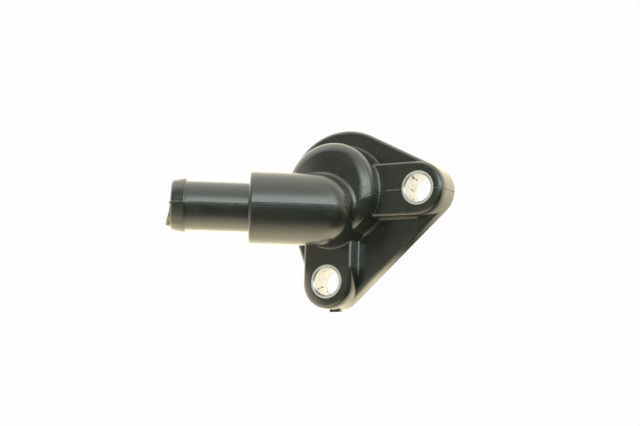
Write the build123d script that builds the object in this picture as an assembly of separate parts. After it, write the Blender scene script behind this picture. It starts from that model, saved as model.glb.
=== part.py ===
from build123d import *
import math
import os

os.makedirs("parts", exist_ok=True)

# Sizes in millimetres, angles in degrees.
# The origin lies on the mounting face at the middle of the port, +Z points away from the engine,
# +X points from the port to the first bolt hole, and the hose pipe leaves towards -X and rises.

# Bolt holes: both lie on one circle about the port.
bolt_circle_radius = 29.2
first_bolt_angle = 0.0
second_bolt_angle = -94.9

# Steel sleeves that keep the bolts from crushing the plastic.
sleeve_outer_radius = 5.5
sleeve_bore_radius = 4.5
sleeve_proud = 0.1
sleeve_edge_chamfer = 0.35

# Flange plate and the two bolt bosses that stand on it.
plate_thickness = 4.3
plate_margin = 5.75
plate_edge_fillet = 1.5
boss_wall = 3.1
boss_height = 9.7
boss_edge_fillet = 1.0
boss_root_fillet = 0.6
boss_top_root_fillet = 0.5

# Round chamber over the port: upright wall, wide rounded corner and a flat dome for a top.
chamber_radius = 15.75
chamber_shoulder_height = 12.3
chamber_corner_radius = 4.6
chamber_dome_rise = 1.2
chamber_top_wall = 3.0
chamber_root_fillet = 0.9
port_wall = 3.15

# Land on the chamber's corner next to the parting line, where one mould half pulls straight off.
land_inset = 0.55
land_near_depth = 5.2
land_far_depth = 2.0

# Elbow: a riser that stands out past the chamber, a ball at the corner and the rising pipe.
riser_x = -1.0
riser_overhang = 2.55
riser_step = 4.65
riser_wall = 2.7
riser_cavity_inset = 0.4
riser_foot_fillet = 0.3
ball_lift = 1.2
ball_ledge = 0.45
elbow_root_fillet = 1.5
pipe_rise_angle = 30.0
pipe_shoulder_distance = 22.1
pipe_shoulder_fillet = 0.8

# Hose nipple with one barb: its free length, then the barb's land and taper down to the tip.
nipple_radius = 7.9
nipple_root_fillet = 0.3
nipple_length = 20.15
nipple_wall = 2.2
barb_height = 0.8
barb_land = 0.65
barb_taper = 4.1
barb_edge_fillet = 0.2
tip_fillet = 1.0

# Groove in the mounting face and the rubber ring that sits in it.
groove_port_wall = 1.8
groove_width = 3.6
groove_depth = 2.4
groove_corner_radius = 0.4
seal_side_clearance = 0.15
seal_corner_radius = 1.1

# Remnant of the gate at the foot of the second boss.
gate_width = 3.6
gate_height = 1.6
gate_length = 0.6
gate_base_height = 1.0
gate_side_shift = 0.3
gate_sink = 0.4

# Overlap that joins a separately drawn root fillet to the wall behind it, and the depth that it is sunk.
root_overlap = 0.5
root_sink = 0.01

# How near an edge lies to a surface that it is said to lie on.
touch = 0.01

port_radius = chamber_radius - port_wall
plate_radius = chamber_radius + plate_margin
boss_half_width = sleeve_outer_radius + boss_wall
chamber_top_height = chamber_shoulder_height + chamber_corner_radius + chamber_dome_rise
land_start = chamber_radius - chamber_corner_radius + land_inset
riser_radius = chamber_radius - riser_step
riser_y = -riser_step - riser_overhang
riser_cavity_radius = riser_radius - riser_wall
ball_height = chamber_top_height + ball_lift
ball_radius = riser_radius + ball_ledge
barb_distance = pipe_shoulder_distance + nipple_length
barb_radius = nipple_radius + barb_height
tip_distance = barb_distance + barb_land + barb_taper
pipe_bore_radius = nipple_radius - nipple_wall
groove_inner_radius = port_radius + groove_port_wall
sleeve_length = boss_height + sleeve_proud
pipe_direction = (-math.cos(math.radians(pipe_rise_angle)), 0.0, math.sin(math.radians(pipe_rise_angle)))
ball_centre = (riser_x, riser_y, ball_height)
bolt_angles = {"first": first_bolt_angle, "second": second_bolt_angle}


def bolt_position(name):
    """Middle of one bolt hole in the plane of the mounting face."""
    angle = math.radians(bolt_angles[name])
    return (bolt_circle_radius * math.cos(angle), bolt_circle_radius * math.sin(angle))


def pipe_plane():
    """Plane through the middle of the ball that faces along the pipe."""
    return Plane(origin=ball_centre, x_dir=(0, 1, 0), z_dir=pipe_direction)


def at_ring(edge, radius, height):
    """True for a round edge of this radius at this height on the Z axis."""
    return abs(edge.radius - radius) < touch and abs(edge.arc_center.Z - height) < touch


def lies_on(edge, shape):
    """True for an edge whose ends and middle lie on this shape."""
    return all(shape.distance_to(edge @ share) < touch for share in (0, 0.5, 1))


def flange_plate():
    """Flat plate: round about the port, drawn out to both bolt bosses, with a rounded upper rim."""
    with BuildPart() as plate:
        with BuildSketch():
            Circle(plate_radius)
            for name in bolt_angles:
                with Locations(bolt_position(name)):
                    Circle(boss_half_width)
            make_hull()
        extrude(amount=plate_thickness)
        fillet(plate.edges().group_by(Axis.Z)[-1], plate_edge_fillet)
    return plate.part


def bolt_boss(name):
    """Long boss with parallel sides and a round end, from beside the port out to its bolt hole."""
    x, y = bolt_position(name)
    inner = (0, y) if name == "first" else (x, 0)
    with BuildPart() as boss:
        with BuildSketch():
            for middle in (inner, (x, y)):
                with Locations(middle):
                    Circle(boss_half_width)
            make_hull()
        extrude(amount=boss_height)
        fillet(boss.edges().group_by(Axis.Z)[-1], boss_edge_fillet)
    return boss.part


def chamber_profile(radius, corner_radius, top_height):
    """Half section of a round chamber: wall, rounded corner and a flat dome that runs smoothly into it."""
    inset = radius - corner_radius
    rise = top_height - chamber_shoulder_height
    dome_radius = (inset**2 + rise**2 - corner_radius**2) / (2 * (rise - corner_radius))
    dome_drop = dome_radius - rise
    meeting_angle = math.degrees(math.atan2(dome_drop, inset))
    with BuildSketch(Plane.XZ) as section:
        with BuildLine():
            Polyline((0, top_height), (0, 0), (radius, 0), (radius, chamber_shoulder_height))
            CenterArc((inset, chamber_shoulder_height), corner_radius, 0, meeting_angle)
            CenterArc(
                (0, chamber_shoulder_height - dome_drop),
                dome_radius,
                meeting_angle,
                90 - meeting_angle,
            )
        make_face()
    return section.sketch


def chamber():
    """Round wall over the port with a flat dome on top."""
    return revolve(chamber_profile(chamber_radius, chamber_corner_radius, chamber_top_height), axis=Axis.Z)


def corner_land():
    """Straight-drawn strip of the chamber's corner, from its middle plane to the slanting parting line."""
    strip = extrude(
        chamber_profile(chamber_radius, chamber_corner_radius, chamber_top_height),
        amount=land_near_depth,
    )
    with BuildPart() as wedge:
        with BuildSketch(Plane.XY.offset(chamber_shoulder_height)):
            Polygon(
                (land_start, 0),
                (land_start, -land_near_depth),
                (chamber_radius, -land_far_depth),
                (chamber_radius, 0),
                align=None,
            )
        extrude(amount=chamber_top_height - chamber_shoulder_height)
    return strip & wedge.part


def root_ring(middle, radius, height, fillet_radius):
    """Concave fillet all round the foot of an upright round wall."""
    wall = radius - root_sink
    foot = height - root_sink
    with BuildPart() as ring:
        with BuildSketch(Plane.XZ):
            with BuildLine():
                Polyline(
                    (wall, foot + fillet_radius),
                    (wall - root_overlap, foot + fillet_radius),
                    (wall - root_overlap, foot),
                    (wall + fillet_radius, foot),
                )
                CenterArc((wall + fillet_radius, foot + fillet_radius), fillet_radius, 180, 90)
            make_face()
        revolve(axis=Axis.Z)
    return Pos(middle[0], middle[1], 0) * ring.part


def boss_roots(name):
    """Concave fillets along both straight sides of a bolt boss, as far out as the plate's top is flat."""
    x, y = bolt_position(name)
    inward = (-1, 0, 0) if name == "first" else (0, 1, 0)
    across = (0, -1, 0) if name == "first" else (-1, 0, 0)
    setback = plate_edge_fillet + boss_root_fillet
    length = (x if name == "first" else -y) - setback
    start = Vector(x, y, plate_thickness - root_sink) + Vector(inward) * setback
    foot = Plane(origin=start, x_dir=across, z_dir=inward)
    wall = boss_half_width - root_sink
    with BuildPart() as roots:
        with BuildSketch(foot):
            for side in (-1, 1):
                with BuildLine():
                    Polyline(
                        (side * wall, boss_root_fillet),
                        (side * (wall - root_overlap), boss_root_fillet),
                        (side * (wall - root_overlap), 0),
                        (side * (wall + boss_root_fillet), 0),
                    )
                    CenterArc(
                        (side * (wall + boss_root_fillet), boss_root_fillet),
                        boss_root_fillet,
                        180 if side > 0 else 270,
                        90,
                    )
                make_face()
        extrude(amount=length)
    return roots.part


def riser():
    """Upright stub beside the port axis that carries the ball of the elbow."""
    with BuildPart() as body:
        with Locations((riser_x, riser_y, 0)):
            Cylinder(riser_radius, ball_height, align=(Align.CENTER, Align.CENTER, Align.MIN))
    return body.part


def boss_top_roots(solid):
    """Rounds the line where the chamber and the riser rise out of the boss tops."""
    body = solid.solids()[0]
    for radius in (chamber_radius, riser_radius):
        arcs = [e for e in body.edges().filter_by(GeomType.CIRCLE) if at_ring(e, radius, boss_height)]
        body = body.fillet(boss_top_root_fillet, arcs)
    return body


def pipe():
    """Ball, thick pipe, stepped shoulder and barbed nipple, turned about the pipe's axis."""
    with BuildPart() as body:
        with BuildSketch(Plane.XZ):
            with BuildLine():
                CenterArc((0, 0), ball_radius, -90, 90)
                Polyline(
                    (ball_radius, 0),
                    (ball_radius, pipe_shoulder_distance),
                    (nipple_radius, pipe_shoulder_distance),
                    (nipple_radius, barb_distance),
                    (barb_radius, barb_distance),
                    (barb_radius, barb_distance + barb_land),
                    (nipple_radius, tip_distance),
                    (0, tip_distance),
                    (0, -ball_radius),
                )
            make_face()
        revolve(axis=Axis.Z)
        for radius, distance, size in (
            (ball_radius, pipe_shoulder_distance, pipe_shoulder_fillet),
            (nipple_radius, pipe_shoulder_distance, nipple_root_fillet),
            (barb_radius, barb_distance, barb_edge_fillet),
            (nipple_radius, tip_distance, tip_fillet),
        ):
            rings = body.edges().filter_by(GeomType.CIRCLE)
            fillet([e for e in rings if at_ring(e, radius, distance)], size)
    return pipe_plane().location * body.part


def elbow():
    """Chamber, riser and pipe in one, with the valleys between them rounded above the chamber's shoulder."""
    trunk = chamber() + corner_land()
    stub = riser()
    turned = pipe()
    body = (trunk + stub + turned).solids()[0]
    high = body.edges().filter_by_position(Axis.Z, chamber_shoulder_height, ball_height)
    valleys = [e for e in high if sum(lies_on(e, shape) for shape in (trunk, stub, turned)) > 1]
    return body.fillet(elbow_root_fillet, valleys)


def gate_remnant():
    """Small broken-off stub on the end wall of the second boss."""
    x, y = bolt_position("second")
    with BuildPart() as stub:
        with Locations((x - gate_side_shift, y - boss_half_width + gate_sink, gate_base_height)):
            Box(gate_width, gate_length + gate_sink, gate_height, align=(Align.CENTER, Align.MAX, Align.MIN))
    return stub.part


def passage():
    """Water way: port, space under the chamber's top, riser cavity inside the port's outline, pipe bore."""
    roof = chamber_profile(
        port_radius,
        chamber_corner_radius - chamber_top_wall,
        chamber_top_height - chamber_top_wall,
    )
    space = revolve(roof, axis=Axis.Z)
    with BuildPart() as cavity:
        with Locations((riser_x, riser_y, 0)):
            Cylinder(riser_cavity_radius, ball_height, align=(Align.CENTER, Align.CENTER, Align.MIN))
        with Locations(ball_centre):
            Sphere(riser_cavity_radius)
        Cylinder(
            port_radius - riser_cavity_inset,
            2 * ball_height,
            align=(Align.CENTER, Align.CENTER, Align.MIN),
            mode=Mode.INTERSECT,
        )
    with BuildPart() as bore:
        Cylinder(pipe_bore_radius, tip_distance, align=(Align.CENTER, Align.CENTER, Align.MIN))
    return space + cavity.part + pipe_plane().location * bore.part


def seal_groove():
    """Ring-shaped groove in the mounting face with rounded bottom corners."""
    with BuildPart() as ring:
        with BuildSketch(Plane.XZ):
            with Locations((groove_inner_radius + groove_width / 2, 0)):
                Rectangle(groove_width, groove_depth, align=(Align.CENTER, Align.MIN))
            fillet(vertices().group_by(Axis.Z)[-1], groove_corner_radius)
        revolve(axis=Axis.Z)
    return ring.part


def housing():
    """The whole plastic moulding with its holes for the sleeves."""
    solid = flange_plate()
    for name in bolt_angles:
        solid += bolt_boss(name)
    solid += elbow()
    solid = boss_top_roots(solid)
    solid += root_ring((0, 0), chamber_radius, plate_thickness, chamber_root_fillet)
    solid += root_ring((riser_x, riser_y), riser_radius, plate_thickness, riser_foot_fillet)
    for name in bolt_angles:
        solid += boss_roots(name)
    solid += gate_remnant()
    solid -= passage()
    solid -= seal_groove()
    for name in bolt_angles:
        x, y = bolt_position(name)
        hole = Cylinder(sleeve_outer_radius, boss_height, align=(Align.CENTER, Align.CENTER, Align.MIN))
        solid -= Pos(x, y, 0) * hole
    return solid


def sleeve(name):
    """Plain steel sleeve with chamfered bore edges, a little longer than the boss is high."""
    x, y = bolt_position(name)
    with BuildPart() as tube:
        Cylinder(sleeve_outer_radius, sleeve_length, align=(Align.CENTER, Align.CENTER, Align.MIN))
        Cylinder(
            sleeve_bore_radius,
            sleeve_length,
            align=(Align.CENTER, Align.CENTER, Align.MIN),
            mode=Mode.SUBTRACT,
        )
        rims = tube.edges().filter_by(GeomType.CIRCLE)
        chamfer([e for e in rims if abs(e.radius - sleeve_bore_radius) < touch], sleeve_edge_chamfer)
    return Pos(x, y, 0) * tube.part


def seal_ring():
    """Rubber ring, drawn as it sits in its groove when the flange is bolted down."""
    seal_width = groove_width - 2 * seal_side_clearance
    with BuildPart() as ring:
        with BuildSketch(Plane.XZ):
            with Locations((groove_inner_radius + groove_width / 2, 0)):
                Rectangle(seal_width, groove_depth, align=(Align.CENTER, Align.MIN))
            fillet(vertices(), seal_corner_radius)
        revolve(axis=Axis.Z)
    return ring.part


nodes = {
    "housing": housing(),
    "sleeve_first": sleeve("first"),
    "sleeve_second": sleeve("second"),
    "seal_ring": seal_ring(),
}

for name, shape in nodes.items():
    export_step(shape, f"parts/{name}.step")
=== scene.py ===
import math

import bpy
from mathutils import Matrix, Vector


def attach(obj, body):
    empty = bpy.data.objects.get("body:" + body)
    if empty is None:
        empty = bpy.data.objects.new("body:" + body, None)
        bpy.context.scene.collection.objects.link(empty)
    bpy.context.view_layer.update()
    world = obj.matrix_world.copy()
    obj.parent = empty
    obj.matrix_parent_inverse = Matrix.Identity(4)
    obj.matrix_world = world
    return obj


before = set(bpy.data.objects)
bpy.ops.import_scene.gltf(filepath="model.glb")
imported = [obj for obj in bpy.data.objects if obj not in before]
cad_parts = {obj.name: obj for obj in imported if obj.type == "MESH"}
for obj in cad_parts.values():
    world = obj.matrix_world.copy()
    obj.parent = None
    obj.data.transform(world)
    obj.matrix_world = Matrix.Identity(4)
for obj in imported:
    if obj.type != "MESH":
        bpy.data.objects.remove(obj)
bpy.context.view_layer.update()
bpy.ops.object.select_all(action="DESELECT")

# The housing is one injection moulding of black glass-filled nylon, and its shape is the CAD node's
# own. Its skin is satin and mirrors softly, with a fine grain where the glass fibres lie under it,
# faint flow marks, and grains of dust that settled on it.


def linear(code):
    """A linear colour with alpha from an sRGB hex value."""
    parts = [int(code[i:i + 2], 16) / 255 for i in (1, 3, 5)]
    return tuple(c / 12.92 if c <= 0.04045 else ((c + 0.055) / 1.055) ** 2.4 for c in parts) + (1.0,)


def add(tree, kind, links=(), **settings):
    """A shader node with its settings on sockets or properties, and links as (socket, source, output)."""
    node = tree.nodes.new(kind)
    for key, value in settings.items():
        if key in node.inputs:
            node.inputs[key].default_value = value
        else:
            setattr(node, key, value)
    for socket, source, output in links:
        tree.links.new(source.outputs[output], node.inputs[socket])
    return node


def material(name):
    """An empty material with its tree and its output node."""
    made = bpy.data.materials.new(name)
    made.use_nodes = True
    made.node_tree.nodes.clear()
    return made, made.node_tree, made.node_tree.nodes.new("ShaderNodeOutputMaterial")


def two_tones(ramp, low_at, low, high_at, high):
    """Gives a ramp its two tones, each at its place along the ramp."""
    for element, position, code in zip(ramp.color_ramp.elements, (low_at, high_at), (low, high)):
        element.position = position
        element.color = linear(code)


# The sockets of a Mix node that carry its two colours and its result.
colour_a, colour_b, colour_out = 6, 7, 2

nylon, tree, output = material("moulded_black_nylon")
place = add(tree, "ShaderNodeTexCoord")
spots = add(tree, "ShaderNodeSeparateXYZ", [("Vector", place, "Object")])
# The glass grain is finer than 0.2 mm, and is drawn 0.45 mm coarse so that it shows. The resin's
# flow leaves patches of about 4 mm that are a little lighter and duller.
grains_per_metre = 2200.0
patches_per_metre = 260.0
grain = add(
    tree,
    "ShaderNodeTexNoise",
    [("Vector", place, "Object")],
    Scale=grains_per_metre,
    Detail=2.0,
    Roughness=0.55,
)
mottle = add(
    tree,
    "ShaderNodeTexNoise",
    [("Vector", place, "Object")],
    Scale=patches_per_metre,
    Detail=3.0,
    Roughness=0.6,
)
tone = add(tree, "ShaderNodeValToRGB", [("Fac", mottle, "Fac")])
two_tones(tone, 0.35, "#191e15", 0.7, "#22271d")
gloss = add(
    tree,
    "ShaderNodeMapRange",
    [("Value", mottle, "Fac")],
    **{"From Min": 0.3, "From Max": 0.7, "To Min": 0.27, "To Max": 0.38},
)
# Dust lies in grains of 0.1 to 0.2 mm, one in each cell of about 2.4 mm.
dust_cells_per_metre = 420.0
dust_spots = add(tree, "ShaderNodeTexVoronoi", [("Vector", place, "Object")], Scale=dust_cells_per_metre)
dusty = add(
    tree,
    "ShaderNodeMapRange",
    [("Value", dust_spots, "Distance")],
    **{"From Min": 0.045, "From Max": 0.075, "To Min": 0.6, "To Max": 0.0},
)
dust = add(
    tree,
    "ShaderNodeMix",
    [("Factor", dusty, "Result"), (colour_a, tone, "Color")],
    data_type="RGBA",
)
dust.inputs[colour_b].default_value = linear("#8d8c80")
# Polishing along the pipe left drawn waves in the mould, about 1 mm wide and 4 mm long.
waves_per_metre = 1300.0
pipe_rise = math.radians(30)
drawn = add(
    tree,
    "ShaderNodeMapping",
    [("Vector", place, "Object")],
    Rotation=(0, pipe_rise, 0),
    Scale=(0.25, 1, 1),
)
waves = add(
    tree,
    "ShaderNodeTexNoise",
    [("Vector", drawn, "Vector")],
    Scale=waves_per_metre,
    Detail=3.0,
    Roughness=0.6,
)
# The halves of the mould meet at y = -7.2 mm over the elbow and the pipe. Just past that line the
# near half falls away by about 4 degrees, and flattens out again over 2.5 mm. The step fades out
# below the elbow.
fall_from = -0.0075
fall_width = 0.0025
fall_depth = 0.00018
past_line = add(
    tree,
    "ShaderNodeMapRange",
    [("Value", spots, "Y")],
    **{"From Min": fall_from, "From Max": fall_from - 4 * fall_width, "To Min": 0.0, "To Max": 4.0},
)
fall = add(tree, "ShaderNodeMath", [(1, past_line, "Result")], operation="POWER")
fall.inputs[0].default_value = math.exp(-1)
up_on_elbow = add(
    tree,
    "ShaderNodeMapRange",
    [("Value", spots, "Z")],
    **{"From Min": 0.0165, "From Max": 0.0205, "To Min": 0.0, "To Max": fall_depth},
)
height = add(
    tree,
    "ShaderNodeMath",
    [(0, fall, "Value"), (1, up_on_elbow, "Result")],
    operation="MULTIPLY",
)


def worn(height, lift, *shares):
    """The height plus lift times the product of the shares, the first of them squared."""
    product = add(
        tree,
        "ShaderNodeMath",
        [(0, shares[0], "Result"), (1, shares[0], "Result")],
        operation="MULTIPLY",
    )
    for share in shares[1:]:
        product = add(tree, "ShaderNodeMath", [(0, product, "Value"), (1, share, "Result")], operation="MULTIPLY")
    lowered = add(tree, "ShaderNodeMath", [(0, product, "Value"), (2, height, "Value")], operation="MULTIPLY_ADD")
    lowered.inputs[1].default_value = lift
    return lowered


# The bosses' upper edges are worn round at their ends: the walls lean in over the last 3 mm below
# the top, the second boss's more than the first's, and the tops fall away over the outer 3 mm.
first_bolt = (0.0292, 0, 0)
second_bolt = (-0.002494, -0.029093, 0)
top_fall = -0.0009
flat = add(tree, "ShaderNodeVectorMath", [(0, place, "Object")], operation="MULTIPLY")
flat.inputs[1].default_value = (1, 1, 0)
under_top = add(
    tree,
    "ShaderNodeMapRange",
    [("Value", spots, "Z")],
    **{"From Min": 0.0062, "From Max": 0.0095},
)
on_boss = add(
    tree,
    "ShaderNodeMapRange",
    [("Value", spots, "Z")],
    **{"From Min": 0.0125, "From Max": 0.0105},
)
for bolt, way, lean in ((first_bolt, (1, 0, 0), -0.0005), (second_bolt, (0, -1, 0), -0.0013)):
    reach = add(tree, "ShaderNodeVectorMath", [(0, flat, "Vector")], operation="DISTANCE")
    reach.inputs[1].default_value = bolt
    outer = add(
        tree,
        "ShaderNodeMapRange",
        [("Value", reach, "Value")],
        **{"From Min": 0.0056, "From Max": 0.0086},
    )
    toward = add(tree, "ShaderNodeVectorMath", [(0, place, "Object")], operation="DOT_PRODUCT")
    toward.inputs[1].default_value = way
    start = Vector(bolt).dot(Vector(way))
    at_end = add(
        tree,
        "ShaderNodeMapRange",
        [("Value", toward, "Value")],
        interpolation_type="SMOOTHSTEP",
        **{"From Min": start - 0.005, "From Max": start + 0.004},
    )
    height = worn(height, top_fall, outer, at_end, on_boss)
    height = worn(height, lean, under_top, at_end, on_boss)
wave_depth = 0.00004
grain_depth = 0.00003
formed = add(tree, "ShaderNodeBump", [("Height", height, "Value")], Strength=1.0, Distance=1.0)
wavy = add(
    tree,
    "ShaderNodeBump",
    [("Height", waves, "Fac"), ("Normal", formed, "Normal")],
    Strength=1.0,
    Distance=wave_depth,
)
grainy = add(
    tree,
    "ShaderNodeBump",
    [("Height", grain, "Fac"), ("Normal", wavy, "Normal")],
    Strength=1.0,
    Distance=grain_depth,
)
skin = add(
    tree,
    "ShaderNodeBsdfPrincipled",
    [
        ("Base Color", dust, colour_out),
        ("Roughness", gloss, "Result"),
        ("Normal", grainy, "Normal"),
        ("Coat Normal", grainy, "Normal"),
    ],
    **{
        "IOR": 1.53,
        "Specular IOR Level": 0.6,
        "Coat Weight": 1.0,
        "Coat Roughness": 0.14,
        "Coat IOR": 1.7,
    },
)
tree.links.new(skin.outputs["BSDF"], output.inputs["Surface"])
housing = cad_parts["housing"]
housing.material_slots[0].material = nylon

# The parting line is the thin ridge of nylon that the halves of the mould leave. It runs over the
# pipe and the elbow, turns across the chamber's shoulder and goes on along the first boss.
smooth_ridge = 0.00013
boss_flash_radius = 0.00016
barb_flash_radius = 0.00012
pipe_seam_y = -0.00723
boss_seam_y = -0.00045
# The slanting plane of the line across the shoulder: a point on it and the direction it faces.
shoulder_point = (0.0117, -0.0052, 0)
shoulder_facing = (3.2, -4.05, 0)
nipple_end = Vector((-0.041703, -0.0072, 0.0428))
pipe_axis = Vector((-0.8660254, 0, 0.5))
# Radii, lengths and heights in mm of what the line keeps off or passes from.
inside_pipe = 6.3
barb_length = 4.9
elbow_foot = 16.0
elbow_edge = 11.65
chamber_inside = 15.2
chamber_top = 17.6
shoulder_inside = 12.7
shoulder_start = 11.5
shoulder_end = 17.8
boss_start = 17.6
just_under_top = 9.6
mounting_face = 0.3
seal_groove = 18.6
groove_top = 3.0
sleeve_outside = 5.6
long_edge = 0.0007


def ridge(name, radius, at, facing, wanted):
    """A thin round ridge where a plane cuts the housing's skin, kept where wanted(x, y, z) in mm is true."""
    bpy.ops.object.select_all(action="DESELECT")
    made = bpy.data.objects.new(name, housing.data.copy())
    bpy.context.scene.collection.objects.link(made)
    bpy.context.view_layer.objects.active = made
    made.select_set(True)
    bpy.ops.object.mode_set(mode="EDIT")
    bpy.ops.mesh.select_all(action="SELECT")
    bpy.ops.mesh.remove_doubles(threshold=0.000001)
    bpy.ops.mesh.bisect(plane_co=at, plane_no=facing, clear_inner=True, clear_outer=True)
    # Long edges are divided first, so that only their unwanted part goes.
    bpy.ops.mesh.select_all(action="DESELECT")
    bpy.ops.mesh.select_mode(type="EDGE")
    bpy.ops.object.mode_set(mode="OBJECT")
    points = made.data.vertices
    for edge in made.data.edges:
        edge.select = (points[edge.vertices[0]].co - points[edge.vertices[1]].co).length > long_edge
    bpy.ops.object.mode_set(mode="EDIT")
    bpy.ops.mesh.subdivide(number_cuts=16)
    bpy.ops.mesh.select_all(action="DESELECT")
    bpy.ops.mesh.select_mode(type="VERT")
    bpy.ops.object.mode_set(mode="OBJECT")
    for vertex in made.data.vertices:
        vertex.select = not wanted(*(vertex.co * 1000))
    bpy.ops.object.mode_set(mode="EDIT")
    bpy.ops.mesh.delete(type="VERT")
    bpy.ops.object.mode_set(mode="OBJECT")
    bpy.ops.object.convert(target="CURVE")
    made = bpy.context.object
    made.data.bevel_depth = radius
    made.data.bevel_resolution = 1
    made.data.use_fill_caps = True
    bpy.ops.object.convert(target="MESH")
    return bpy.context.object


def on_pipes_skin(x, y, z):
    """True where a point in mm is too far from the pipe's axis to be in its bore."""
    offset = Vector((x, y, z)) - nipple_end * 1000
    return (offset - offset.dot(pipe_axis) * pipe_axis).length > inside_pipe


def on_barb(x, y, z):
    """True where a point in mm lies along the barb or nearer the nipple's end."""
    return (Vector((x, y, z)) - nipple_end * 1000).dot(pipe_axis) > -barb_length


def over_pipe_and_elbow(x, y, z):
    """True on the outside of the plate, the chamber, the elbow and the pipe, up to the barb."""
    from_port = math.hypot(x, y)
    in_groove = from_port < seal_groove and z < groove_top
    in_chamber = from_port <= chamber_inside and z <= chamber_top
    off_pipe = z >= elbow_foot and (not on_pipes_skin(x, y, z) or on_barb(x, y, z))
    return x < elbow_edge and z > mounting_face and not (in_groove or in_chamber or off_pipe)


parting_line = ridge("parting_line", smooth_ridge, (0, pipe_seam_y, 0), (0, 1, 0), over_pipe_and_elbow)
barb_flash = ridge(
    "barb_flash",
    barb_flash_radius,
    (0, pipe_seam_y, 0),
    (0, 1, 0),
    lambda x, y, z: on_barb(x, y, z) and z > nipple_end.z * 1000 and on_pipes_skin(x, y, z),
)
over_shoulder = ridge(
    "over_shoulder",
    smooth_ridge,
    shoulder_point,
    shoulder_facing,
    lambda x, y, z: shoulder_start < x < shoulder_end and z > just_under_top and math.hypot(x, y) > shoulder_inside,
)
boss_flash = ridge(
    "boss_flash",
    boss_flash_radius,
    (0, boss_seam_y, 0),
    (0, 1, 0),
    lambda x, y, z: x > boss_start and z > mounting_face and abs(x - first_bolt[0] * 1000) > sleeve_outside,
)
bpy.ops.object.select_all(action="DESELECT")
for piece in (over_shoulder, parting_line):
    piece.select_set(True)
bpy.context.view_layer.objects.active = parting_line
bpy.ops.object.join()
# The flash on the boss and the barb broke off unevenly, so its nylon is dull and pale in patches of
# about 1.4 mm.
flash, tree, output = material("broken_nylon_flash")
place = add(tree, "ShaderNodeTexCoord")
uneven = add(tree, "ShaderNodeTexNoise", [("Vector", place, "Object")], Scale=700.0, Detail=3.0)
tone = add(tree, "ShaderNodeValToRGB", [("Fac", uneven, "Fac")])
two_tones(tone, 0.35, "#5d5c51", 0.65, "#a29f90")
torn = add(tree, "ShaderNodeBsdfPrincipled", [("Base Color", tone, "Color")], Roughness=0.45, IOR=1.53)
tree.links.new(torn.outputs["BSDF"], output.inputs["Surface"])
# Over the pipe and the shoulder the line is smooth moulded nylon. It looks darker than the skin
# beside it, with paler places every millimetre or so.
smooth, tree, output = material("smooth_nylon_ridge")
place = add(tree, "ShaderNodeTexCoord")
uneven = add(tree, "ShaderNodeTexNoise", [("Vector", place, "Object")], Scale=1200.0, Detail=2.0)
tone = add(tree, "ShaderNodeValToRGB", [("Fac", uneven, "Fac")])
two_tones(tone, 0.4, "#12130f", 0.7, "#3c3b33")
even = add(tree, "ShaderNodeBsdfPrincipled", [("Base Color", tone, "Color")], Roughness=0.5, IOR=1.53)
tree.links.new(even.outputs["BSDF"], output.inputs["Surface"])
for piece, skin_of_piece in ((parting_line, smooth), (boss_flash, flash), (barb_flash, flash)):
    piece.data.materials.clear()
    piece.data.materials.append(skin_of_piece)
    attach(piece, "root")

# A torn lip of flash stands on the near half of the nipple's end, up to 1.2 mm high, where the core slid out of the
# mould. It is thin enough to let light through, and that light is painted into its colour, so it looks tan.
lip_radius = 0.0066
lip_wall = 0.0004
lip_foot = -0.0004
lip_start_height = 0.0007
lip_turn = math.radians(92)
# Its height in mm, at angles in degrees from the parting line round to the near side.
lip_heights = (
    (0, 0.45),
    (9, 0.1),
    (20, 0.25),
    (34, 0.55),
    (46, 0.9),
    (58, 1.15),
    (70, 1.25),
    (80, 1.0),
    (85, 0.25),
    (95, 0.0),
)
crosswise = Vector((0.5, 0, 0.8660254))
bpy.ops.object.select_all(action="DESELECT")
bpy.ops.mesh.primitive_plane_add(size=1.0, location=(0, 0, 0))
torn_lip = bpy.context.object
torn_lip.name = "torn_lip"
for vertex, (out, outward) in zip(torn_lip.data.vertices, ((0, 0), (1, 0), (0, 1), (1, 1))):
    across = crosswise * (lip_radius + lip_wall * out)
    vertex.co = nipple_end + across + pipe_axis * (lip_foot + lip_start_height * outward)
bpy.ops.object.mode_set(mode="EDIT")
bpy.ops.mesh.select_all(action="SELECT")
bpy.ops.mesh.spin(steps=24, angle=lip_turn, center=nipple_end, axis=pipe_axis)
bpy.ops.mesh.select_all(action="SELECT")
bpy.ops.mesh.normals_make_consistent(inside=False)
bpy.ops.object.mode_set(mode="OBJECT")
for vertex in torn_lip.data.vertices:
    offset = vertex.co - nipple_end
    stands = offset.dot(pipe_axis)
    turned = math.degrees(math.atan2(-offset.y, offset.dot(crosswise)))
    if stands > 0:
        for (start, low), (end, top) in zip(lip_heights, lip_heights[1:]):
            if start - 1 <= turned <= end:
                lip_here = low + (top - low) * (turned - start) / (end - start)
        ragged = 1 + 0.12 * math.sin(2.1 * turned) + 0.08 * math.sin(5.3 * turned)
        vertex.co += pipe_axis * (lip_here * ragged / 1000 - stands)
bpy.ops.object.shade_smooth_by_angle(angle=math.radians(50))
# The light through the thin torn nylon is painted into its colour: tan, cloudy over about a millimetre.
thin, tree, output = material("thin_nylon_flash")
place = add(tree, "ShaderNodeTexCoord")
cloudy = add(tree, "ShaderNodeTexNoise", [("Vector", place, "Object")], Scale=900.0, Detail=3.0)
tone = add(tree, "ShaderNodeValToRGB", [("Fac", cloudy, "Fac")])
two_tones(tone, 0.38, "#84775d", 0.62, "#ded3b4")
film = add(tree, "ShaderNodeBsdfPrincipled", [("Base Color", tone, "Color")], Roughness=0.4, IOR=1.53)
tree.links.new(film.outputs["BSDF"], output.inputs["Surface"])
torn_lip.data.materials.append(thin)
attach(torn_lip, "root")

# The nib is a hair of nylon that stands off the first boss's end, where the flash tore, and the
# pipe has hair scratches from handling. Both are rubbed nylon, dull and pale.


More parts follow.
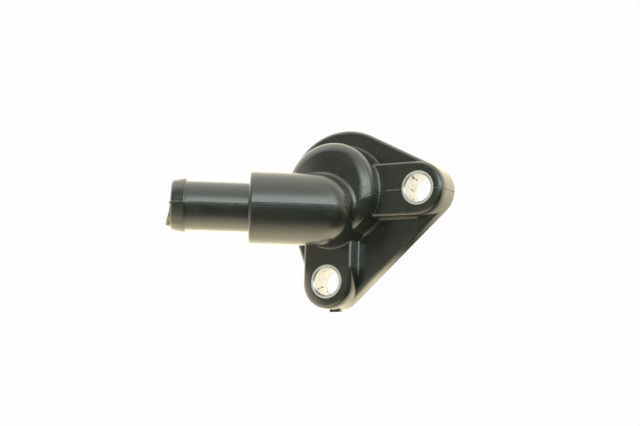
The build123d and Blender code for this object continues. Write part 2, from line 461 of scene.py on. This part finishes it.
def slivers(name, lines):
    """Thin slivers with pointed ends along lines, each a radius in mm and its points in mm."""
    curve = bpy.data.curves.new(name, "CURVE")
    curve.dimensions = "3D"
    curve.bevel_depth = 0.001
    curve.bevel_resolution = 1
    curve.use_fill_caps = True
    for radius, points in lines:
        spline = curve.splines.new("POLY")
        spline.points.add(len(points) - 1)
        for point, spot in zip(spline.points, points):
            point.co = (*(part / 1000 for part in spot), 1)
            point.radius = radius
        spline.points[0].radius = spline.points[-1].radius = radius * 0.45
    made = bpy.data.objects.new(name, curve)
    bpy.context.scene.collection.objects.link(made)
    bpy.ops.object.select_all(action="DESELECT")
    bpy.context.view_layer.objects.active = made
    made.select_set(True)
    bpy.ops.object.convert(target="MESH")
    return bpy.context.object


nib = slivers("boss_nib", [(0.16, ((37.6, -0.45, 2.2), (38.0, -0.5, 1.6), (38.3, -0.3, 1.2)))])
hooked_scratch = (
    (-31.59, -10.18, 45.39),
    (-31.3, -9.75, 45.33),
    (-30.94, -9.56, 45.28),
    (-30.1, -9.3, 44.87),
    (-29.27, -9.19, 44.44),
)
straight_scratch = ((-31.59, -10.18, 45.39), (-31.2, -10.9, 44.8), (-30.57, -11.6, 43.93))
short_mark = ((5.2, -10.7, 28.3), (5.45, -10.55, 28.35))
bent_mark = ((6.0, -14.6, 24.5), (6.35, -14.45, 24.55), (6.6, -14.5, 24.3))
hairs = slivers(
    "hair_scratches",
    [(0.05, hooked_scratch), (0.05, straight_scratch), (0.06, short_mark), (0.07, bent_mark)],
)
# Rubbed nylon turns dull grey, uneven over less than a millimetre.
rubbed, tree, output = material("rubbed_nylon")
place = add(tree, "ShaderNodeTexCoord")
patchy = add(tree, "ShaderNodeTexNoise", [("Vector", place, "Object")], Scale=1500.0, Detail=2.0)
tone = add(tree, "ShaderNodeValToRGB", [("Fac", patchy, "Fac")])
two_tones(tone, 0.0, "#57554a", 1.0, "#87857a")
pale = add(tree, "ShaderNodeBsdfPrincipled", [("Base Color", tone, "Color")], Roughness=0.5, IOR=1.53)
tree.links.new(pale.outputs["BSDF"], output.inputs["Surface"])
for piece in (nib, hairs):
    piece.data.materials.append(rubbed)
    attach(piece, "root")

# The two compression sleeves are turned steel with clear zinc, pressed into the bosses, and are the CAD nodes. The
# bore shows fine turning rings, and the ends are duller than the bore, with a painted highlight that makes the
# faces that point up paler.
zinc, tree, output = material("turned_zinc_steel")
place = add(tree, "ShaderNodeTexCoord")
spots = add(tree, "ShaderNodeSeparateXYZ", [("Vector", place, "Object")])
# The rings are turned at a feed of 0.12 mm, and are drawn at 0.45 mm so that they show. The zinc is
# a little unevenly grey over about 2 mm.
ring_spacing = 0.00045
ring_depth = 0.00005
rings = add(tree, "ShaderNodeMath", [(0, spots, "Z")], operation="MULTIPLY")
rings.inputs[1].default_value = 2 * math.pi / ring_spacing
wave = add(tree, "ShaderNodeMath", [(0, rings, "Value")], operation="SINE")
ripple = add(tree, "ShaderNodeBump", [("Height", wave, "Value")], Strength=0.16, Distance=ring_depth)
stained = add(
    tree,
    "ShaderNodeTexNoise",
    [("Vector", place, "Object")],
    Scale=500.0,
    Detail=3.0,
    Roughness=0.6,
)
tone = add(tree, "ShaderNodeValToRGB", [("Fac", stained, "Fac")])
two_tones(tone, 0.3, "#b3b6bf", 0.6, "#c6c9d2")
shape = add(tree, "ShaderNodeNewGeometry")
facing = add(tree, "ShaderNodeSeparateXYZ", [("Vector", shape, "Normal")])
dull = add(
    tree,
    "ShaderNodeMapRange",
    [("Value", facing, "Z")],
    **{"From Min": 0.8, "From Max": 0.95, "To Min": 0.34, "To Max": 0.55},
)
on_end = add(
    tree,
    "ShaderNodeMapRange",
    [("Value", facing, "Z")],
    **{"From Min": 0.8, "From Max": 0.95},
)
# A painted highlight: faces that point up are mixed toward a pale colour.
painted_paler_ends = add(
    tree,
    "ShaderNodeMix",
    [("Factor", on_end, "Result"), (colour_a, tone, "Color")],
    data_type="RGBA",
)
painted_paler_ends.inputs[colour_b].default_value = linear("#f4f3ee")
steel = add(
    tree,
    "ShaderNodeBsdfPrincipled",
    [("Base Color", painted_paler_ends, colour_out), ("Roughness", dull, "Result"), ("Normal", ripple, "Normal")],
    Metallic=1.0,
)
tree.links.new(steel.outputs["BSDF"], output.inputs["Surface"])
for name in ("sleeve_first", "sleeve_second"):
    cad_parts[name].material_slots[0].material = zinc

# Grains and a fibre of dark dirt cling to the oiled bores of the sleeves, each a radius in mm and
# its place in mm.
grain_places = (
    (0.16, (-4.95, -25.3, 6.3)),
    (0.2, (-6.5, -31.05, 7.2)),
    (0.15, (-6.75, -30.4, 4.6)),
    (0.2, (-6.75, -30.2, 3.9)),
    (0.16, (-6.35, -31.35, 1.2)),
    (0.16, (-5.95, -31.95, 0.6)),
    (0.24, (26.3, 3.5, 4.2)),
    (0.16, (24.75, 0.4, 4.4)),
    (0.18, (24.75, 0.15, 3.4)),
    (0.14, (25.1, -1.8, 5.6)),
    (0.2, (25.8, -2.95, 5.2)),
)
fibre_line = ((27.35, 4.0, 8.4), (26.9, 3.8, 8.2), (26.5, 3.5, 7.6), (26.4, 3.4, 6.6), (26.7, 3.6, 5.9))
bpy.ops.object.select_all(action="DESELECT")
crumbs = []
for index, (radius, spot) in enumerate(grain_places):
    bpy.ops.mesh.primitive_ico_sphere_add(
        subdivisions=2,
        radius=radius / 1000,
        location=[part / 1000 for part in spot],
    )
    bpy.ops.object.mode_set(mode="EDIT")
    bpy.ops.mesh.select_all(action="SELECT")
    bpy.ops.transform.vertex_random(offset=radius / 2500, uniform=0.6, normal=0.4, seed=index + 1)
    bpy.ops.object.mode_set(mode="OBJECT")
    bpy.ops.object.transform_apply(location=True, rotation=False, scale=False)
    crumbs.append(bpy.context.object)
dirt_fibre = slivers("fibre", [(0.13, fibre_line)])
bpy.ops.object.select_all(action="DESELECT")
for piece in crumbs + [dirt_fibre]:
    piece.select_set(True)
bpy.context.view_layer.objects.active = crumbs[0]
bpy.ops.object.join()
dirt_grains = crumbs[0]
dirt_grains.name = "dirt_grains"
# Dried dirt and oil, matt and dark brown, crumbly at 0.3 mm.
dirt, tree, output = material("dark_dirt")
place = add(tree, "ShaderNodeTexCoord")
crumbly = add(tree, "ShaderNodeTexNoise", [("Vector", place, "Object")], Scale=3000.0, Detail=2.0)
tone = add(tree, "ShaderNodeValToRGB", [("Fac", crumbly, "Fac")])
two_tones(tone, 0.0, "#2a2119", 1.0, "#6a5a45")
dry = add(tree, "ShaderNodeBsdfPrincipled", [("Base Color", tone, "Color")], Roughness=0.8)
tree.links.new(dry.outputs["BSDF"], output.inputs["Surface"])
dirt_grains.data.materials.clear()
dirt_grains.data.materials.append(dirt)
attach(dirt_grains, "root")

# The seal is a moulded ring of black rubber, pushed into the groove of the mounting face. It is the
# CAD node, dull, with a faint grey bloom in patches of 2 to 3 mm.
rubber, tree, output = material("black_rubber")
place = add(tree, "ShaderNodeTexCoord")
bloom = add(tree, "ShaderNodeTexNoise", [("Vector", place, "Object")], Scale=400.0, Detail=3.0)
tone = add(tree, "ShaderNodeValToRGB", [("Fac", bloom, "Fac")])
two_tones(tone, 0.0, "#141414", 1.0, "#232322")
soft = add(tree, "ShaderNodeBsdfPrincipled", [("Base Color", tone, "Color")], Roughness=0.55)
tree.links.new(soft.outputs["BSDF"], output.inputs["Surface"])
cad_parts["seal_ring"].material_slots[0].material = rubber

# The camera looks down on the flange from the front right through a long lens, so that the bosses'
# tops face it almost squarely and the pipe runs to the left.
camera_place = Vector((0.25088, -0.09106, 0.49404))
right = Vector((0.8855, 0.0276, -0.4639))
up = Vector((0.0466, 0.9879, 0.1477))
back = right.cross(up).normalized()
right = up.cross(back).normalized()
camera = bpy.data.objects.new("camera", bpy.data.cameras.new("camera"))
bpy.context.scene.collection.objects.link(camera)
camera.data.lens = 95.7
camera.data.sensor_width = 36.0
camera.data.clip_start = 0.01
camera.data.clip_end = 10.0
turn = Matrix((right, up, back)).transposed().to_4x4()
camera.matrix_world = Matrix.Translation(camera_place) @ turn
bpy.context.scene.camera = camera

# The stage is a lit white table of matt acrylic, on which the flange lies with its mounting face down. It looks
# white and keeps a soft shadow. What glossy faces see of it is a painted reflection, a glow that only glossy rays
# see: warm and bright near the flange, paler and dimmer farther back, and painted dark at the front right.
table_size = 3.0
table_gap = 0.00005
bpy.ops.mesh.primitive_plane_add(size=table_size, location=(0, 0, -table_gap))
floor = bpy.context.object
floor.name = "floor"
bpy.ops.object.transform_apply(location=True, rotation=False, scale=False)
white, tree, output = material("white_table")
ray = add(tree, "ShaderNodeLightPath")
matt = add(tree, "ShaderNodeBsdfDiffuse", Color=linear("#f6f5f0"))
paper = add(tree, "ShaderNodeEmission", Color=linear("#ffffff"), Strength=1.0)
place = add(tree, "ShaderNodeTexCoord")
spots = add(tree, "ShaderNodeSeparateXYZ", [("Vector", place, "Object")])
# Strength of the painted reflection: higher near the flange, lower toward the right.
bright = add(
    tree,
    "ShaderNodeMapRange",
    [("Value", spots, "X")],
    interpolation_type="SMOOTHSTEP",
    **{"From Min": 0.04, "From Max": 0.08, "To Min": 1.95, "To Max": 1.1},
)
# The painted dark patch's edge runs from the flange to the front right, and its far edge lies level with the port.
from_edge = add(tree, "ShaderNodeVectorMath", [(0, place, "Object")], operation="DOT_PRODUCT")
from_edge.inputs[1].default_value = (0.83, 0.56, 0)
past_edge = add(
    tree,
    "ShaderNodeMapRange",
    [("Value", from_edge, "Value")],
    interpolation_type="SMOOTHSTEP",
    **{"From Min": -0.009, "From Max": 0.011},
)
in_front = add(
    tree,
    "ShaderNodeMapRange",
    [("Value", spots, "Y")],
    interpolation_type="SMOOTHSTEP",
    **{"From Min": 0.002, "From Max": -0.02},
)
# A painted dark patch in the table's reflection, at the front right.
dark_reflection_patch = add(
    tree,
    "ShaderNodeMath",
    [(0, past_edge, "Result"), (1, in_front, "Result")],
    operation="MULTIPLY",
)
reflection_darkened = add(tree, "ShaderNodeMapRange", [("Value", dark_reflection_patch, "Value")], **{"To Min": 1.0, "To Max": 0.06})
farther_back = add(
    tree,
    "ShaderNodeMapRange",
    [("Value", spots, "Y")],
    interpolation_type="SMOOTHSTEP",
    **{"From Min": -0.01, "From Max": 0.05},
)
dimmed = add(
    tree,
    "ShaderNodeMapRange",
    [("Value", farther_back, "Result")],
    **{"To Min": 1.0, "To Max": 0.75},
)
strength = add(
    tree,
    "ShaderNodeMath",
    [(0, bright, "Result"), (1, reflection_darkened, "Result")],
    operation="MULTIPLY",
)
strength = add(
    tree,
    "ShaderNodeMath",
    [(0, strength, "Value"), (1, dimmed, "Result")],
    operation="MULTIPLY",
)
glow = add(tree, "ShaderNodeMix", [("Factor", farther_back, "Result")], data_type="RGBA")
glow.inputs[colour_a].default_value = linear("#fbf0cd")
glow.inputs[colour_b].default_value = linear("#eee9dc")
# The painted reflection of the table: an emission that only glossy rays see.
painted_table_reflection = add(
    tree,
    "ShaderNodeEmission",
    [("Strength", strength, "Value"), ("Color", glow, colour_out)],
)
# To the camera the table is almost all white paper, and the rest of it takes the shadow.
paper_share = 0.97
clear = add(
    tree,
    "ShaderNodeMath",
    [(0, ray, "Is Camera Ray"), (1, ray, "Is Transmission Ray")],
    operation="MAXIMUM",
)
share = add(tree, "ShaderNodeMath", [(0, clear, "Value")], operation="MULTIPLY")
share.inputs[1].default_value = paper_share
seen = add(
    tree,
    "ShaderNodeMixShader",
    [("Fac", share, "Value"), (1, matt, "BSDF"), (2, paper, "Emission")],
)
both = add(
    tree,
    "ShaderNodeMixShader",
    [("Fac", ray, "Is Glossy Ray"), (1, seen, "Shader"), (2, painted_table_reflection, "Emission")],
)
tree.links.new(both.outputs["Shader"], output.inputs["Surface"])
floor.data.materials.append(white)

# The room has a long soft box above the camera that ends a little left of it, grey walls behind, a
# dark place below the soft box, and warm light low down except at the right. Each band is an angle
# above the line of sight in degrees, a colour and a strength.
far_left = (
    (-180, "#fff0cf", 1.9),
    (-20, "#f4efe0", 1.3),
    (60, "#f4efe0", 1.0),
    (180, "#f6efe0", 1.6),
)
left_of_box = (
    (-180, "#fff0cf", 1.9),
    (-66, "#fff0cf", 1.35),
    (-42, "#f4efe0", 0.75),
    (-18, "#eff0da", 0.42),
    (0, "#e8f2dc", 0.34),
    (66, "#e8f2dc", 0.24),
    (71, "#eef4e8", 0.36),
    (79, "#f4f4ee", 1.05),
    (100, "#f4f4ee", 1.5),
    (180, "#f6efe0", 1.6),
)
facing_box = (
    (-180, "#fff0cf", 1.9),
    (-70, "#fff0cf", 1.4),
    (-50, "#f4efe0", 0.4),
    (-35, "#e8f2dc", 0.12),
    (-8, "#e8f2dc", 0.16),
    (12, "#e4f2ee", 0.55),
    (17, "#e4f2ee", 3.4),
    (36, "#e4f2ee", 3.1),
    (47, "#f4f4ee", 1.2),
    (62, "#f4f4ee", 1.05),
    (105, "#f4f4ee", 1.35),
    (180, "#f6efe0", 1.2),
)
right_of_box = (
    (-180, "#eef4e8", 0.1),
    (-30, "#eef4e8", 0.08),
    (-5, "#eef4e8", 0.2),
    (12, "#e4f2ee", 0.7),
    (18, "#e4f2ee", 2.8),
    (42, "#e4f2ee", 3.0),
    (54, "#e4f2ee", 2.2),
    (66, "#f4f4ee", 1.5),
    (90, "#f4f4ee", 1.1),
    (180, "#f6efe0", 1.1),
)
brightest = 3.4
world = bpy.data.worlds.new("studio")
bpy.context.scene.world = world
world.use_nodes = True
tree = world.node_tree
tree.nodes.clear()
output = tree.nodes.new("ShaderNodeOutputWorld")
ray = add(tree, "ShaderNodeLightPath")
place = add(tree, "ShaderNodeTexCoord")
rise, depth, side = (
    add(tree, "ShaderNodeVectorMath", [(0, place, "Generated")], operation="DOT_PRODUCT") for axis in range(3)
)
for node, axis in ((rise, up), (depth, back), (side, right)):
    node.inputs[1].default_value = axis
angle = add(tree, "ShaderNodeMath", [(0, rise, "Value"), (1, depth, "Value")], operation="ARCTAN2")
round_room = add(
    tree,
    "ShaderNodeMapRange",
    [("Value", angle, "Value")],
    **{"From Min": -math.pi, "From Max": math.pi},
)
walls = []
for bands in (far_left, left_of_box, facing_box, right_of_box):
    ramp = add(tree, "ShaderNodeValToRGB", [("Fac", round_room, "Result")])
    while len(ramp.color_ramp.elements) < len(bands):
        ramp.color_ramp.elements.new(1.0)
    for element, (degrees, colour, strength) in zip(ramp.color_ramp.elements, bands):
        element.position = (degrees + 180) / 360
        element.color = [part * strength / brightest for part in linear(colour)[:3]] + [1.0]
    walls.append(ramp)
# The far wall ends 57 to 66 degrees left of the camera, the soft box fades in from 27 left to 6
# right, and the low light fades out from 18 to 45 right.
colours, colours_out = walls[0], "Color"
for wall, start, end in ((walls[1], -66, -57), (walls[2], -27, 6), (walls[3], 18, 45)):
    fade = add(
        tree,
        "ShaderNodeMapRange",
        [("Value", side, "Value")],
        interpolation_type="SMOOTHSTEP",
        **{"From Min": math.sin(math.radians(start)), "From Max": math.sin(math.radians(end))},
    )
    colours = add(
        tree,
        "ShaderNodeMix",
        [("Factor", fade, "Result"), (colour_a, colours, colours_out), (colour_b, wall, "Color")],
        data_type="RGBA",
    )
    colours_out = colour_out
room = add(tree, "ShaderNodeBackground", [("Color", colours, colour_out)], Strength=brightest)
paper = add(tree, "ShaderNodeBackground", Color=(1, 1, 1, 1), Strength=1.0)
both = add(
    tree,
    "ShaderNodeMixShader",
    [("Fac", ray, "Is Camera Ray"), (1, room, "Background"), (2, paper, "Background")],
)
tree.links.new(both.outputs["Shader"], output.inputs["Surface"])

bpy.context.scene.view_settings.view_transform = "Standard"
